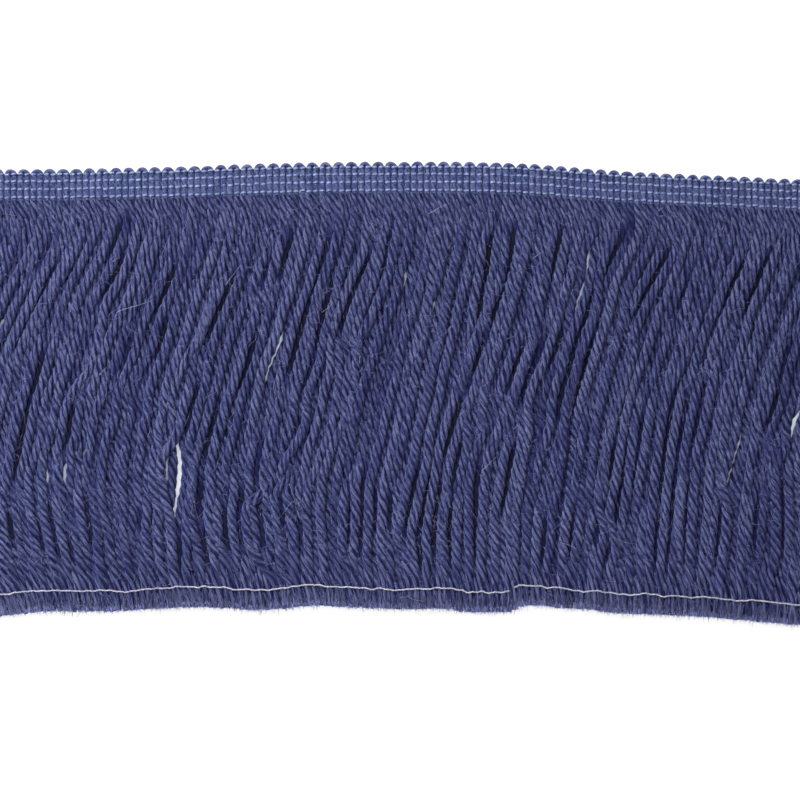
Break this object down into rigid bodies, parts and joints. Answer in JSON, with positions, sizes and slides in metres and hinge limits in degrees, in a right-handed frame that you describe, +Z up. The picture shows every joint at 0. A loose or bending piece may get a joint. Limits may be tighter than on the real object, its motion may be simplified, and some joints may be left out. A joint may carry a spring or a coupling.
{
  "type": "wool fringe trim",
  "caption": "Cut length of wool fringe trim lying flat: a narrow crochet-knitted picot heading, long plied yarn strands swept to one side, and a fine holding thread near their tips.",
  "frame": {"origin": "centre of the bottom of the bounding box, on the surface that the trim lies on", "axes": "+X along the trim, +Y across it from the strands' tips towards the heading, +Z up out of its face"},
  "size_m": [0.2235, 0.1035, 0.0042],
  "materials": {
    "wool_yarn": "plied wool, matt with fine fibres",
    "binding_thread": "fine smooth thread, slight gloss",
    "holding_thread": "fine undyed thread, matt"
  },
  "bodies": {
    "root": {"heading": "wool_yarn", "fringe": "wool_yarn", "binding_chain_1": "binding_thread", "binding_chain_2": "binding_thread", "binding_chain_3": "binding_thread", "binding_chain_4": "binding_thread", "holding_thread": "holding_thread"}
  },
  "joints": []
}
